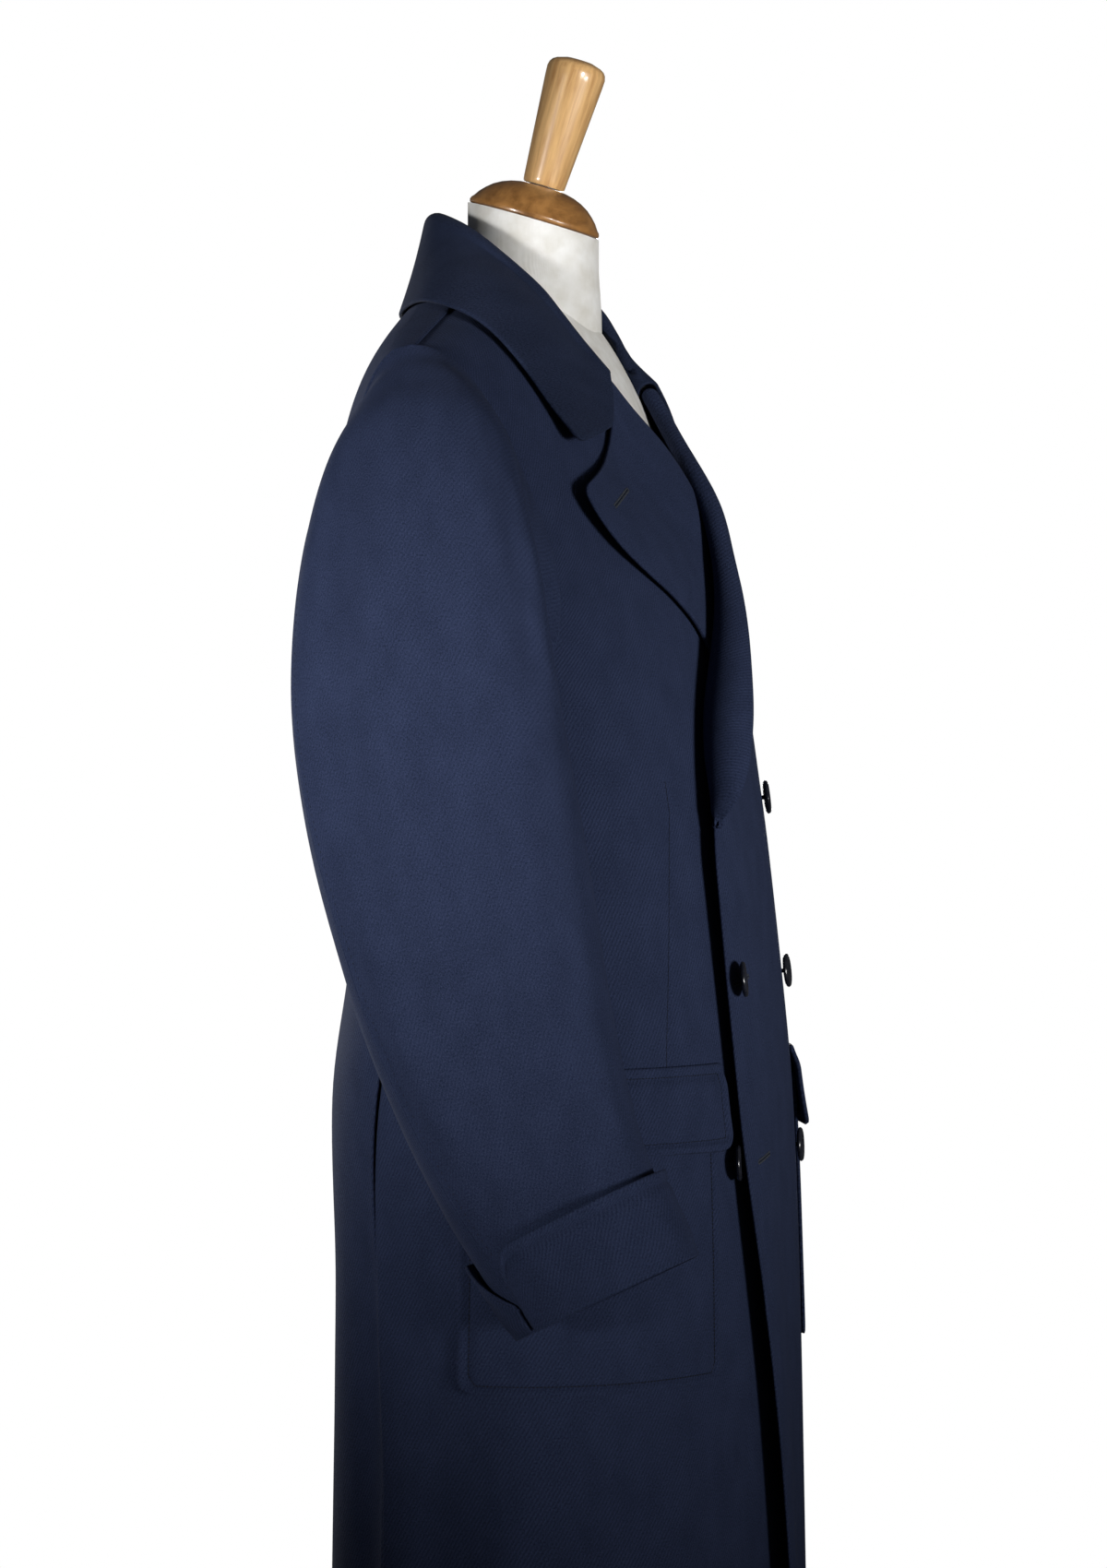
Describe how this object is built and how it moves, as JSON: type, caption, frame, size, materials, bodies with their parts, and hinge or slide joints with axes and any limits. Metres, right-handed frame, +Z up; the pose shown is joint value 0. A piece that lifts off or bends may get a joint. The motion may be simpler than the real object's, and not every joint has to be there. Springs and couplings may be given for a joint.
{
  "type": "wool overcoat on dress form",
  "caption": "Long double-breasted overcoat in heavy wool twill with wide lapels, turned-back cuffs and flapped patch pockets, on a limbless dress form with stand.",
  "frame": {"origin": "on the floor under the middle of the stand's foot", "axes": "+Z up, the coat faces -Y, the wearer's left is +X"},
  "size_m": [0.6528, 0.3408, 1.6552],
  "materials": {
    "navy_wool": "matt, soft nap",
    "dark_button": "polished",
    "cream_canvas": "matt",
    "honey_wood": "varnished",
    "dark_metal": "satin"
  },
  "bodies": {
    "root": {"front_left": "navy_wool", "front_right": "navy_wool", "back_left": "navy_wool", "back_right": "navy_wool", "lapel_left": "navy_wool", "lapel_right": "navy_wool", "collar": "navy_wool", "top_sleeve_left": "navy_wool", "top_sleeve_right": "navy_wool", "under_sleeve_left": "navy_wool", "under_sleeve_right": "navy_wool", "cuff_left": "navy_wool", "cuff_right": "navy_wool", "pocket_left": "navy_wool", "pocket_right": "navy_wool", "flap_left": "navy_wool", "flap_right": "navy_wool", "button_left_top": "dark_button", "button_left_middle": "dark_button", "button_left_low": "dark_button", "button_right_middle": "dark_button", "button_right_low": "dark_button", "form_torso": "cream_canvas", "form_neck_cap": "honey_wood", "form_handle": "honey_wood", "form_pole": "dark_metal", "form_foot": "dark_metal"}
  },
  "joints": []
}
